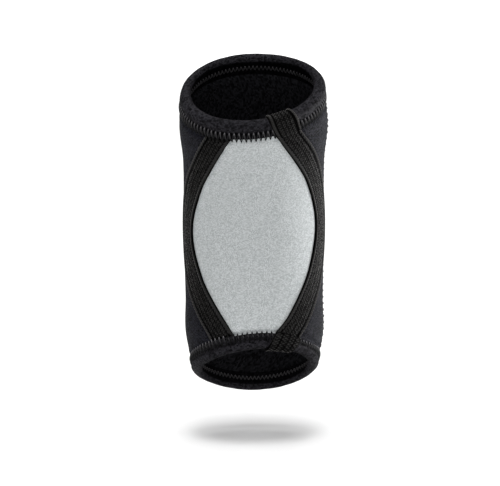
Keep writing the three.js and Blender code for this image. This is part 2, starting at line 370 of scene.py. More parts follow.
def tape_slant(column, share):
    """How much wider a tape is around the tube than across itself, because it runs at a slant."""
    before = share - MEASURE_STEP
    after = share + MEASURE_STEP
    turn = (seam_angle(column, after) - seam_angle(column, before)) / (2.0 * MEASURE_STEP)
    middle = SIDES[column] * seam_angle(column, share)
    run = np.linalg.norm(tube_point(after, middle, 0.0) - tube_point(before, middle, 0.0), axis=-1)
    return np.hypot(1.0, turn * half_width(share) * 2.0 * MEASURE_STEP / run)


def tape_offset(column, share, angle):
    """Distance from the middle of a tape, across the tape."""
    turned = SIDES[column] * np.where(angle > math.pi, angle - FULL_TURN, angle)
    return (turned - seam_angle(column, share)) * half_width(share) / tape_slant(column, share)


def skin_relief(share, angle):
    """How far the cloth stands proud of the plain skin: beds, dips, grooves and bulges."""
    from_seam = (angle - seam_angle("side", share)) * half_width(share)
    relief = ridge(from_seam, *SEAM_DIP)
    for column in SIDES:
        offset = np.abs(tape_offset(column, share, angle))
        relief = relief - TAPE_BED * (1.0 - ease(offset, *BED_EDGE))
        relief = relief + ridge(offset, *BED_BULGE)
    along = along_at_share(share, angle)
    for rim in RIMS:
        inside = distance_inside(rim, along, angle)
        past_needle = inside - rim["needle_out"][1]
        relief = relief + ridge(inside - rim["outside"], *RIM_EDGE_GROOVE)
        relief = relief + ridge(past_needle, *RIM_NEEDLE_GROOVE)
        relief = relief + ridge(past_needle, *RIM_BULGE)
    return relief


def hem_recess(along, angle):
    """How far the inner face of the wall is pressed outward under the inside of the bindings."""
    recess = 0.0
    for rim in RIMS:
        inside = distance_inside(rim, along, angle)
        released = ease(inside, rim["inside"] + HEM_STOP[0], rim["inside"] + HEM_STOP[1])
        pressed = ease(inside, *HEM_START) * (1.0 - released)
        recess = recess + HEM_RECESS * pressed
    return recess


def ripple(angle, seed, counts, size):
    """Low uneven waves around the tube, the same on every run."""
    generator = np.random.default_rng(seed)
    total = 0.0
    for count in counts:
        share = generator.uniform(0.4, 1.0)
        total = total + share * np.sin(count * angle + generator.uniform(0.0, FULL_TURN))
    return size * total / len(counts)


def sweep(points, u, v, shade, ring_length=None):
    """Vertices, faces, corner coordinates and painted light and shade of a loop of points carried through
    stations.

    The surface coordinates get one more item, and one more station on a ring, to close the mesh.
    """
    is_ring = ring_length is not None
    uvs = np.stack(np.broadcast_arrays(u, v), axis=-1)
    uvs = np.concatenate([uvs, uvs[:, :1]], axis=1)
    if is_ring:
        uvs = join(uvs, uvs[:1] + (ring_length, 0.0))
    stations, items = points.shape[:2]
    spans = stations if is_ring else stations - 1
    station = np.arange(spans)[:, None]
    item = np.arange(items)[None, :]
    corners = ((station, item), (station + 1, item), (station + 1, item + 1), (station, item + 1))
    quads = np.stack([(s % stations) * items + (i % items) + 0 * station * item for s, i in corners], axis=-1)
    quads = quads.reshape(-1, 4)
    marks = np.stack([uvs[s + 0 * item, i + 0 * station] for s, i in corners], axis=2).reshape(-1, 4, 2)
    vertices = points.reshape(-1, 3)
    a, b, c, d = (vertices[quads[:, corner]] for corner in range(4))
    volume = np.sum(np.cross(b, c) * a) + np.sum(np.cross(c, d) * a)
    faces = quads[:, ::-1] if volume < 0.0 else quads
    marks = marks[:, ::-1] if volume < 0.0 else marks
    faces = faces.tolist()
    marks = marks.reshape(-1, 2).tolist()
    if not is_ring:
        ends = (list(range(items)), list(range((stations - 1) * items, stations * items)))
        for end, loop in enumerate(ends):
            is_flipped = (end == 0) == (volume < 0.0)
            faces.append(loop if is_flipped else loop[::-1])
            marks.extend([uvs[0, 0].tolist()] * items)
    return vertices, faces, marks, np.broadcast_to(shade, points.shape[:2]).ravel()


def join_sweeps(sweeps):
    """Joins several swept meshes into one."""
    vertices, faces, marks, shades = zip(*sweeps)
    counts = np.cumsum([0] + [len(part) for part in vertices]).tolist()
    faces = [[corner + count for corner in face] for part, count in zip(faces, counts) for face in part]
    marks = [mark for part in marks for mark in part]
    return join(*vertices), faces, marks, join(*shades)


def add_object(name, data):
    """New object in the scene."""
    thing = bpy.data.objects.new(name, data)
    bpy.context.scene.collection.objects.link(thing)
    return thing


def make_piece(name, swept, materials, node=None):
    """Object from a swept mesh, riding on the one body of the part."""
    vertices, faces, marks, shades = swept
    mesh = bpy.data.meshes.new(name)
    mesh.from_pydata((vertices * METRES).tolist(), [], faces)
    layer = mesh.uv_layers.new(name="UVMap")
    layer.data.foreach_set("uv", np.asarray(marks, dtype=float).ravel())
    # The shade attribute carries painted light and shade, which the materials multiply into the colour and
    # the gloss
    mesh.attributes.new("shade", "FLOAT", "POINT").data.foreach_set("value", shades)
    mesh.shade_smooth()
    for material in materials:
        mesh.materials.append(material)
    piece = add_object(name, mesh)
    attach(piece, "root")
    if node:
        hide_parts(node)
    return piece


def crowded(count, crowding):
    """Shares from 0 to 1 that lie closer together near both ends."""
    even = np.linspace(0.0, 1.0, count)
    return (1.0 - crowding) * even + crowding * (1.0 - np.cos(math.pi * even)) / 2.0


def wall_edge(share, column, side, shift, turns):
    """Angle of a wall's edge, half a gap beside a seam."""
    gap = shift * (SEAM_GAP / 2.0) / half_width(share)
    return turns * FULL_TURN + (side * seam_angle(column, share) + gap)


def wall_sweep(first, last, columns, has_painted_edge_shadow):
    """Part of the tube's wall between two seams: up the outer skin, over the rim and down the inner skin."""
    edge_turns = (np.arange(RIM_STEPS) + 0.5) * math.pi / (2.0 * RIM_STEPS)
    edge = np.zeros(RIM_STEPS)
    skin = np.zeros(WALL_ROWS)
    rise = WALL / 2.0 * np.sin(edge_turns)
    drop = WALL / 2.0 * (np.cos(edge_turns) - 1.0)
    share = join(edge, crowded(WALL_ROWS, ROW_CROWDING), edge + 1.0)
    past = join(-rise[::-1], skin, rise)
    height = join(drop[::-1], skin, drop)
    share = join(share, share[::-1])[None, :]
    past = join(past, past[::-1])[None, :]
    height = join(height, -WALL - height[::-1])[None, :]
    is_skin = height == 0.0
    across = crowded(columns, COLUMN_CROWDING)[:, None]
    start = wall_edge(share, *first)
    angle = start + across * (wall_edge(share, *last) - start)
    stretch = np.where(share < 0.5, stretch_at(BOTTOM, angle), stretch_at(TOP, angle))
    along = along_at_share(share, angle) + past / stretch
    relief = skin_relief(share, angle) + ripple(angle + 2.0 * share, **BODY_WAVES)
    recess = np.where(height < -WALL / 2.0, hem_recess(along, angle), 0.0)
    points = tube_point(along, angle, height + is_skin * relief + recess)
    around = angle * half_width(share)
    upward = share * LEG_LENGTH * 2.0
    # Painted shade: the lining darkens towards the bottom of the tube
    painted_lining_shade = LINING_PAINTED_SHADE + (1.0 - LINING_PAINTED_SHADE) * ease(share, *LINING_PAINTED_FADE)
    # Painted shadow: a dark line beside the bindings, on the body walls but not on the panel
    painted_outer_shadow = painted_edge_shadow(along, angle) if has_painted_edge_shadow else 1.0
    shade = np.where(height > -WALL / 2.0, painted_outer_shadow, painted_lining_shade)
    return sweep(points, around, upward, shade)


def painted_edge_shadow(along, angle):
    """Painted shadow on what lies beside the outer edges of the bindings: a dark line along each edge."""
    shade = 1.0
    for rim in RIMS:
        beyond = distance_inside(rim, along, angle) - outer_edge(rim, angle)
        shade = shade * (1.0 - ridge(beyond, *EDGE_SHADOW))
    return shade


def paint_lining(piece, columns):
    """Gives the inner half of a wall its second material."""
    items = 2 * (WALL_ROWS + 2 * RIM_STEPS)
    faces = (columns - 1) * items
    item = np.arange(faces) % items
    index = np.zeros(len(piece.data.polygons), dtype=np.int32)
    index[:faces] = item >= items // 2
    piece.data.polygons.foreach_set("material_index", index)


def cell_noise(column, row):
    """A repeatable number from 0 to 1 for each cell of a grid."""
    mixed = np.sin(column * 12.9898 + row * 78.233) * 43758.5453
    return mixed - np.floor(mixed)


def edge_fall(across):
    """How far the rounded edges of a tape fall below its face."""
    half = TAPE_WIDTH / 2.0
    over = np.clip((np.abs(across) - (half - TAPE_ROUND)) / TAPE_ROUND, 0.0, 1.0)
    return (TAPE_HEIGHT - TAPE_UNDER) * (1.0 - np.sqrt(np.maximum(1.0 - over ** 2, 0.0)))


def tape_profile(across, travel):
    """Height of the woven face of a tape; across is positive away from the panel.

    An uneven basket weave on low ribs fills the middle. A groove and a raised selvage follow on the outer
    side, and a groove and a sunk edge on the side of the panel.
    """
    reach = np.abs(across)
    field = 1.0 - ease(reach, FIELD_REACH - 0.3, FIELD_REACH + 0.3)
    column = np.floor(across / WEAVE_CELL + 0.5)
    row = np.floor(travel / WEAVE_CELL + 0.5)
    weave = np.cos(math.pi * across / WEAVE_CELL) * np.cos(math.pi * travel / WEAVE_CELL)
    weave = WEAVE_HEIGHT * weave * (0.4 + 0.9 * cell_noise(column, row))
    ribs = RIB_HEIGHT * np.cos(FULL_TURN * across / RIB_PITCH)
    groove = ridge(across, *OUTER_GROOVE) + ridge(across, *INNER_GROOVE)
    selvage = ridge(across, *SELVAGE) * (1.0 + 0.4 * np.cos(FULL_TURN * travel / SELVAGE_PITCH))
    sunk = SUNK_DEPTH * ease(-across, 7.2, 7.6)
    return TAPE_HEIGHT + field * (weave + ribs) + selvage - groove - sunk - edge_fall(across)


def tape_loop():
    """Places across a tape, over its face and back under it, and whether each is on the face."""
    half = TAPE_WIDTH / 2.0
    face = join(
        -half + TAPE_ROUND * (1.0 - np.cos(np.linspace(0.0, math.pi / 2.0, 6))),
        np.linspace(-half + TAPE_ROUND, half - TAPE_ROUND, 66)[1:-1],
        half - TAPE_ROUND * (1.0 - np.cos(np.linspace(math.pi / 2.0, 0.0, 6))))
    across = join(face, np.linspace(half, -half, 8)[1:-1])
    is_face = np.arange(len(across)) < len(face)
    return across[None, :], is_face[None, :]


def tape_angle(column, share, across):
    """Angle of a place across a tape; its outer half spreads a little where it lies around the sides."""
    spread = TAPE_SPREAD[column] * sum(bell(share - place, SPREAD_REACH) for place in SPREAD_PLACES)
    across = across + np.maximum(across, 0.0) * spread
    turn = across * tape_slant(column, share) / half_width(share)
    return SIDES[column] * (seam_angle(column, share) + turn)


def on_bindings(along, angle, before, after):
    """How far a place is on a binding, from 0 to 1; the change starts and stops by the binding's edge."""
    share = 0.0
    for rim in RIMS:
        edge = outer_edge(rim, angle)
        share = share + (1.0 - ease(distance_inside(rim, along, angle), edge + before, edge + after))
    return share


def tape_sink(along, angle):
    """How far the left tape is pressed down where it runs in under the bindings."""
    return TAPE_SINK * on_bindings(along, angle, -1.0, 3.8)


def right_tape_lift(along, angle):
    """Extra height of the right tape where it climbs over the bindings."""
    return TAPE_LIFT * on_bindings(along, angle, -0.6, TAPE_CLIMB)


def left_tape_sweep():
    """The left tape, which runs in under both bindings."""
    across, is_face = tape_loop()
    share = np.linspace(*LEFT_TAPE_ENDS, TAPE_STATIONS)[:, None]
    angle = tape_angle("left", share, across)
    along = along_at_share(share, angle)
    travel = share * TAPE_LENGTH
    height = np.where(is_face, tape_profile(across, travel), TAPE_UNDER)
    height = height - is_face * tape_sink(along, angle)
    # The tape carries the painted shadow line beside the bindings' edges
    return sweep(tube_point(along, angle, height), across, travel, painted_edge_shadow(along, angle))


def right_tape_stations():
    """Stations of the right tape: share of the way up, turn over a rim and tuck inside it."""
    turns = np.linspace(0.0, math.pi, 40)[1:]
    tucks = np.linspace(0.0, TAPE_TUCK, 18)[1:]
    rows = [(BOTTOM, 0.0, math.pi, tuck) for tuck in tucks[::-1]]
    rows += [(BOTTOM, 0.0, turn, 0.0) for turn in turns[::-1]]
    rows += [(None, share, 0.0, 0.0) for share in np.linspace(0.0, 1.0, TAPE_STATIONS)]
    rows += [(TOP, 1.0, turn, 0.0) for turn in turns]
    rows += [(TOP, 1.0, math.pi, tuck) for tuck in tucks]
    return rows


def fold_shift(rim, across, inside):
    """Shift of a place across the right tape, near and past a rim, where the folded end turns."""
    inner, outer = rim["fold_shift"]
    place = across / TAPE_WIDTH + 0.5
    return (inner * (1.0 - place) + outer * place) * (1.0 - ease(inside, 0.0, rim["outside"] + 1.0))


def right_tape_sweep():
    """The right tape, which laps over both bindings and folds over both rims."""
    across, is_face = tape_loop()
    rows = []
    travel = FOLD_START
    for rim, share, turn, tuck in right_tape_stations():
        if rim is None:
            travel += TAPE_LENGTH / (TAPE_STATIONS - 1)
            angle = tape_angle("right", share, across)
            along = along_at_share(share, angle)
            placed = across
            for end in RIMS:
                placed = placed + fold_shift(end, across, distance_inside(end, along, angle))
            angle = tape_angle("right", share, placed)
            along = along_at_share(share, angle)
            lift = right_tape_lift(along, angle)
            beyond = distance_inside(BOTTOM, along, angle) - outer_edge(BOTTOM, angle)
            flat = 1.0 - ease(beyond, 0.0, 1.0)
        else:
            travel += FOLD_STEP
            bend = (WALL / 2.0 + FOLD_RADIUS) * turn
            stretch = float(stretch_at(rim, seam_angle("right", rim["along"])))
            past = rim["along"] + rim["direction"] * (bend + tuck) / stretch
            angle = tape_angle("right", past, across + fold_shift(rim, across, 0.0))
            lift = right_tape_lift(rim_along(rim, angle), angle)
            lift = lift + (HEM_HEIGHT - LIP_HEIGHT) * ease(tuck, 0.0, 2.0)
            flat = (1.0 if rim is BOTTOM else 0.0) + 0.0 * across
        mark = across * (1.0 - END_FLATTENING * flat)
        woven = tape_profile(mark, travel) - edge_fall(across) + edge_fall(mark)
        height = np.where(is_face, woven, TAPE_UNDER) + lift
        if rim is None:
            points = tube_point(along, angle, height)
            # The tape carries the painted shadow line beside the bindings' edges
            shade = painted_edge_shadow(along, angle)
        else:
            points = rim_point(rim, tuck, turn, angle, height)
            # Painted shade on the tape's folded end, under the bottom lip
            shade = np.full(across.shape, 1.0 - rim["under_painted_shade"] * ease(turn, 0.2, 1.2))
        rows.append((points, mark, np.full(across.shape, travel), shade))
    return sweep(*(join(*arrays) for arrays in zip(*rows)))


def on_left_tape(rim, reach, angle):
    """How far a place near a rim is on the left tape, from 0 to 1."""
    share = share_at_along(along_from_rim(rim, reach, angle), angle)
    return 1.0 - ease(np.abs(tape_offset("left", share, angle)), 6.8, 8.6)


def stitch_distance(rim, reach, angle):
    """Distance around the rim from the nearest leg of the zigzag outside."""
    near, far = needle_lines(rim, angle)
    across = np.clip((reach - near) / (far - near), 0.0, 1.0)
    place = (angle * rim["periods"] / FULL_TURN) % 1.0
    apart = np.minimum(np.abs(place - across / 2.0), np.abs(1.0 - across / 2.0 - place))
    return apart * FULL_TURN * half_width(rim["along"]) / rim["periods"]


def outer_height(rim, reach, angle):
    """Height of a binding's outer face: lip, needle groove, puffed band with stitch valleys, pressed edge."""
    near = rim["needle_out"][0]
    phase = angle * rim["periods"]
    face = LIP_HEIGHT + (BAND_HEIGHT - LIP_HEIGHT) * ease(reach, near - 0.8, near + 1.2)
    face = face + ripple(angle, **LIP_WAVES)
    face = face - NEEDLE_GROOVE * bell(reach - near, NEEDLE_SPREAD) * (0.75 + 0.25 * np.cos(phase))
    face = face + 0.1 * bell(reach - near + 1.6, 1.0) * np.cos(phase)
    valley = STITCH_VALLEY * bell(stitch_distance(rim, reach, angle), 0.5)
    face = face - valley * ease(reach, near, near + 0.8)
    lift = LAP_LIFT * on_left_tape(rim, reach, angle) * ease(reach, 0.5, 3.5)
    edge = EDGE_HEIGHT + 0.4 * lift
    end = outer_edge(rim, angle)
    fall = ease(reach, end - EDGE_ROUND, end)
    return face + lift + (edge - face) * fall


def inner_slim(rim, angle):
    """How slim the inner half of a lip is, from 0 to 1."""
    slim = 0.0
    for place, spread in rim["slim"]:
        apart = (np.degrees(angle) - place + 180.0) % 360.0 - 180.0
        slim = slim + bell(apart, spread)
    return np.minimum(slim, 1.0)


def inner_height(rim, reach, angle):
    """Height of a binding's inner face: it drops from the lip into the hem, with a raised stitched strip."""
    phase = angle * rim["periods"]
    slim = inner_slim(rim, angle)
    lip = LIP_HEIGHT - LIP_SLIMMING * slim * ease(reach, -6.0, -2.0)
    face = lip + (HEM_HEIGHT - lip) * ease(reach, 0.1, rim["needle_in"][0] - slim)
    face = face + ripple(angle, **LIP_WAVES)
    for shift, line in zip((0.0, math.pi), rim["needle_in"]):
        face = face - 0.3 * bell(reach - line, 0.6) * (0.75 + 0.25 * np.cos(phase + shift))
    fall = ease(reach, rim["needle_in"][1] + 0.3, rim["inside"])
    return face + (HEM_UNDER + 0.1 - face) * fall


def face_reach(reach, turn):
    """Reach from the rim on either face of a binding, below zero on the lip between them."""
    return reach - (WALL / 2.0 + LIP_HEIGHT) * np.minimum(turn, math.pi - turn)


def binding_painted_shade(rim, reach, turn, angle):
    """Painted shade of a binding: a black hem inside, a dark stitched band with darker gaps between the legs
    and dark needle holes outside, and a darker underside of the lip at the front.
    """
    reach = face_reach(reach, turn)
    near = rim["needle_out"][0]
    # Painted shade on the stitched band: darker between the thread's legs and in the needle holes
    band = ease(reach, near - 0.3, near + 0.8)
    gap = ease(stitch_distance(rim, reach, angle), 0.3, 0.9)
    hole = bell(reach - near, 0.9) * (0.5 - 0.5 * np.cos(angle * rim["periods"]))
    dark = 1.0 - (1.0 - band * (0.4 + 0.5 * gap)) * (1.0 - 0.85 * hole)
    # Painted shade: the inner face goes black from here, earlier where the lip is slim
    start = -2.4 * inner_slim(rim, angle)
    inner = 1.0 - 0.8 * ease(reach, start, start + 1.0)
    # Painted shade under the front of the lip
    under = rim["under_painted_shade"] * ease(turn, 0.5, 1.7) * ease(np.cos(angle), -0.1, 0.5)
    return np.where(turn > math.pi / 2.0, inner, 1.0 - rim["band_painted_shade"] * dark) * (1.0 - under)


def binding_height(rim, reach, turn, angle):
    reach = face_reach(reach, turn)
    return np.where(turn > math.pi / 2.0, inner_height(rim, reach, angle), outer_height(rim, reach, angle))


def binding_sweep(rim):
    """Strip of cloth folded over a rim."""
    stations = BINDING_STATIONS * rim["periods"]
    angle = np.linspace(0.0, FULL_TURN, stations, endpoint=False)[:, None]
    outside = np.linspace(rim["outside"], 0.0, 24)
    turns = np.linspace(0.0, math.pi, 18)[1:-1]
    inside = np.linspace(0.0, rim["inside"], 20)
    reach = join(outside, 0.0 * turns, inside)
    turn = join(0.0 * outside, turns, np.full(len(inside), math.pi))
    under_reach = join(np.linspace(rim["inside"], 0.0, 5), np.zeros(4), np.linspace(0.0, rim["outside"], 5))
    under_turn = join(np.full(5, math.pi), np.linspace(math.pi, 0.0, 6)[1:-1], np.zeros(5))
    is_face = (np.arange(len(reach) + len(under_reach)) < len(reach))[None, :]
    reach = join(reach, under_reach)[None, :]
    turn = join(turn, under_turn)[None, :]
    reach = np.where(turn < 0.01, reach * outer_edge(rim, angle) / rim["outside"], reach)
    sunk = (HEM_UNDER - BINDING_UNDER) * ease(reach, 0.1, rim["needle_in"][0]) * (turn > 3.0)
    height = np.where(is_face, binding_height(rim, reach, turn, angle), BINDING_UNDER + sunk)
    points = rim_point(rim, reach, turn, angle, height)
    radius = float(half_width(rim["along"]))
    travel = np.where(turn < 0.01, -reach, np.where(turn > 3.14, 13.0 + reach, 4.0 * turn))
    shade = binding_painted_shade(rim, reach, turn, angle)
    return sweep(points, angle * radius, travel, shade, FULL_TURN * radius)


def unit(vectors):
    return vectors / np.linalg.norm(vectors, axis=1, keepdims=True)


def thread_sweep(path, outward, radius, is_ring, shade):
    """Round thread along a path, given the direction away from the cloth and the painted light and shade at
    each point.
    """
    ahead = np.roll(path, -1, axis=0)
    behind = np.roll(path, 1, axis=0)
    if not is_ring:
        ahead[-1] = path[-1]
        behind[0] = path[0]
    tangent = unit(ahead - behind)
    sideways = unit(np.cross(tangent, outward))
    upward = np.cross(sideways, tangent)
    turn = np.arange(THREAD_SIDES)[:, None] * FULL_TURN / THREAD_SIDES
    points = path[:, None] + radius * np.cos(turn) * upward[:, None]
    points = points + radius * np.sin(turn) * sideways[:, None]
    steps = np.linalg.norm(ahead - path, axis=1)
    travel = join([0.0], np.cumsum(steps)[:-1])[:, None]
    length = float(steps.sum()) if is_ring else None
    return sweep(points, travel, radius * turn.T, np.reshape(shade, (-1, 1)), length)


def zigzag_shares(periods):
    """Running count of periods and share of the way across for each point of a zigzag."""
    step = np.arange(2 * ZIGZAG_STEPS * periods)
    place = step / (2.0 * ZIGZAG_STEPS)
    across = 1.0 - np.abs(2.0 * (place % 1.0) - 1.0)
    return place, across


def arch(across, upper):
    """Height of a zigzag thread, which dips into the cloth most at its lower turns; upper is 0 or 1."""
    from_upper = np.abs(across - upper)
    dip = 0.45 * ease(from_upper, 0.7, 1.0) + 0.15 * (1.0 - ease(from_upper, 0.0, 0.2))
    return 0.8 * THREAD_RADIUS - dip


def thread_painted_light(place, across, upper):
    """Painted light of a zigzag thread: a painted highlight at its upper turns, one leg lighter than the
    other, and painted shade down to black at its lower turns.
    """
    from_upper = np.abs(across - upper)
    leg = np.where((place % 1.0 < 0.5) == (upper < 0.5), *PAINTED_LEG_LIGHT)
    crown = 1.0 - ease(from_upper, 0.04, 0.18)
    return (leg + (1.0 - leg) * crown) * (1.0 - 0.95 * ease(from_upper, 0.35, 0.75))


def on_panel(rim, angle):
    """Whether places around a rim are in front of the pale panel."""
    turned = front_angle(angle)
    return (turned > -seam_angle("left", rim["along"])) & (turned < seam_angle("right", rim["along"]))


def binding_thread(rim, is_inside):
    """Zigzag thread around a binding, outside or inside."""
    periods = rim["periods"]
    place, across = zigzag_shares(periods)
    angle = place * FULL_TURN / periods
    near, far = rim["needle_in"] if is_inside else needle_lines(rim, angle)
    reach = near + across * (far - near)
    turn = np.full(len(angle), math.pi if is_inside else 0.0)
    if is_inside:
        height = inner_height(rim, reach, angle)
    else:
        along = along_from_rim(rim, reach, angle)
        ground = on_left_tape(rim, reach, angle) * (TAPE_HEIGHT - tape_sink(along, angle))
        edge = outer_edge(rim, angle)
        height = outer_height(rim, np.minimum(reach, edge), angle)
        height = height + (ground - height) * ease(reach, edge - 0.4, edge + 0.9)
    upper = 0.0 if rim is TOP else 1.0
    height = height + arch(across, upper)
    shade = thread_painted_light(place, across, upper)
    if is_inside:
        shade = np.maximum(shade, HEM_THREAD_LEAST_LIGHT)
    else:
        # Over the panel the thread is near black, with no painted highlight
        shade = np.where(on_panel(rim, angle) & (reach > edge - 1.0), PANEL_THREAD_SHADE, shade)
    path = rim_point(rim, reach, turn, angle, height)
    outward = rim_point(rim, reach, turn, angle, height + OUTWARD_STEP) - path
    return thread_sweep(path, outward, THREAD_RADIUS, True, shade)


def side_thread():
    """Zigzag thread over the seam on the right side, between the two bindings."""
    low, high = SEAM_ENDS
    periods = int(round((high - low) * SEAM_LENGTH / SEAM_PERIOD))
    place, across = zigzag_shares(periods)
    share = low + (high - low) * place / periods
    angle = seam_angle("side", share) + SEAM_WIDTH * (across - 0.5) / half_width(share)
    along = along_at_share(share, angle)
    height = skin_relief(share, angle) + arch(across, 0.0) + 0.15
    path = tube_point(along, angle, height)
    outward = tube_point(along, angle, height + OUTWARD_STEP) - path
    return thread_sweep(path, outward, THREAD_RADIUS, False, thread_painted_light(place, across, 0.0))


def tape_thread(column, line):
    """Row of separate slanted stitches along one edge of a tape."""
    count = int(TAPE_LENGTH / LOCK_PITCH)
    step = np.linspace(-0.5, 0.5, 7)
    sweeps = []
    for stitch in range(count):
        share = LOCK_START + LOCK_SPAN * (stitch + 0.5) / count + step * LOCK_LENGTH / TAPE_LENGTH
        travel = share * TAPE_LENGTH
        across = line + LOCK_SLANT * 2.0 * step * np.sign(line)
        angle = tape_angle(column, share, across)
        along = along_at_share(share, angle)
        height = tape_profile(across, travel) + 0.12 - 0.5 * (2.0 * step) ** 4
        if column == "right":
            height = height + right_tape_lift(along, angle)
        path = tube_point(along, angle, height)
        outward = tube_point(along, angle, height + OUTWARD_STEP) - path
        # Painted shade: the stitches sit dark in their grooves
        sweeps.append(thread_sweep(path, outward, LOCK_RADIUS, False, np.full(len(step), LOCK_PAINTED_SHADE)))
    return join_sweeps(sweeps)


class Shader:
    """Small helper that adds nodes to a material or to the surroundings and joins them."""

    def __init__(self, owner, shader="Principled BSDF"):
        owner.use_nodes = True
        self.owner = owner
        self.nodes = owner.node_tree.nodes
        self.links = owner.node_tree.links
        self.shader = self.nodes[shader]

    def add(self, kind, inputs=None, **settings):
        node = self.nodes.new("ShaderNode" + kind)
        for key, value in settings.items():
            setattr(node, key, value)
        for key, value in (inputs or {}).items():
            self.feed(node.inputs[key], value)
        return node

    def feed(self, socket, value):
        if isinstance(value, bpy.types.NodeSocket):
            self.links.new(value, socket)
        else:
            socket.default_value = value

    def math(self, operation, first, second=0.0, third=0.0):
        node = self.add("Math", {0: first, 1: second, 2: third}, operation=operation)
        return node.outputs[0]

    def times(self, first, second):
        return self.math("MULTIPLY", first, second)

    def scale(self, value, factor, shift):
        return self.math("MULTIPLY_ADD", value, factor, shift)

    def ramp(self, value, stops):
        node = self.add("ValToRGB", {"Fac": value})
        elements = node.color_ramp.elements
        while len(elements) < len(stops):
            elements.new(0.5)
        for element, (place, colour) in zip(elements, stops):
            element.position = place
            element.color = (*colour, 1.0)
        return node.outputs["Color"]

    def levels(self, value, stops):
        """A number read off a table of places and levels."""
        return self.ramp(value, [(place, (level,) * 3) for place, level in stops])

    def noise(self, size, detail=2.0, roughness=0.5):
        """Noise whose features are about the given size in millimetres."""
        place = self.add("TexCoord").outputs["Object"]
        inputs = {"Vector": place, "Scale": 1.0 / (size * METRES), "Detail": detail, "Roughness": roughness}
        return self.add("TexNoise", inputs).outputs["Fac"]

    def surface_place(self):
        """Distances along the surface in millimetres."""
        place = self.add("UVMap", uv_map="UVMap").outputs["UV"]
        split = self.add("SeparateXYZ", {0: place})
        return split.outputs["X"], split.outputs["Y"]

    def cell_shade(self, column, row):
        """A random number from 0 to 1 for each cell of a pattern."""
        column = self.math("FLOOR", column)
        row = self.math("FLOOR", row)
        place = self.add("CombineXYZ", {"X": column, "Y": row}).outputs[0]
        return self.add("TexWhiteNoise", {"Vector": place}, noise_dimensions="2D").outputs["Value"]

    def knit(self, wale, course):
        """Plain knit of small V-shaped loops: height, and a random shade for each loop."""
        u, v = self.surface_place()
        column = self.times(u, 1.0 / wale)
        leg = self.math("ABSOLUTE", self.scale(self.math("FRACT", column), 2.0, -1.0))
        row = self.scale(leg, 0.6, self.times(v, 1.0 / course))
        height = self.math("ADD", self.math("PINGPONG", row, 0.5), self.math("PINGPONG", leg, 0.5))
        return height, self.cell_shade(column, row)

    def mesh_painted_light(self):
        """The painted light and shade that the mesh carries."""
        return self.add("Attribute", attribute_name="shade").outputs["Fac"]

    def darken(self, colour):
        """Colour times the painted light and shade that the mesh carries."""
        inputs = {"Factor": self.mesh_painted_light(), 6: (0.0, 0.0, 0.0, 1.0), 7: colour}
        return self.add("Mix", inputs, data_type="RGBA").outputs[2]

    def bump(self, height, strength, distance):
        """Normal of a bumpy surface; distance in millimetres."""
        inputs = {"Height": height, "Strength": strength, "Distance": distance * METRES}
        return self.add("Bump", inputs).outputs["Normal"]

    def finish(self, **inputs):
        for key, value in inputs.items():
            self.feed(self.shader.inputs[key.replace("_", " ")], value)
        return self.owner


def cloth_material(name, dark, pale, spread, wale, course, depth, specular):
    """Knitted cloth face of shaded loops and uneven colour; a small spread makes the grain stronger."""
    shader = Shader(bpy.data.materials.new(name))
    loops, shade = shader.knit(wale, course)
    fine = shader.noise(0.8 * wale, 2.0, 0.6)
    broad = shader.noise(14.0, 2.0)
    mixed = shader.scale(fine, 0.2, shader.times(broad, 0.05))
    mixed = shader.scale(shade, 0.75, mixed)
    colour = shader.darken(shader.ramp(mixed, [(0.5 - spread, dark), (0.5 + spread, pale)]))
    roughness = shader.scale(fine, 0.2, 0.6)
    # The gloss is dimmed where the mesh carries painted shade
    gloss = shader.times(shader.mesh_painted_light(), shader.scale(mixed, 1.6 * specular, 0.2 * specular))
    normal = shader.bump(shader.scale(fine, 0.8, loops), 0.8, depth)
    return shader.finish(Base_Color=colour, Roughness=roughness, Specular_IOR_Level=gloss, Normal=normal)


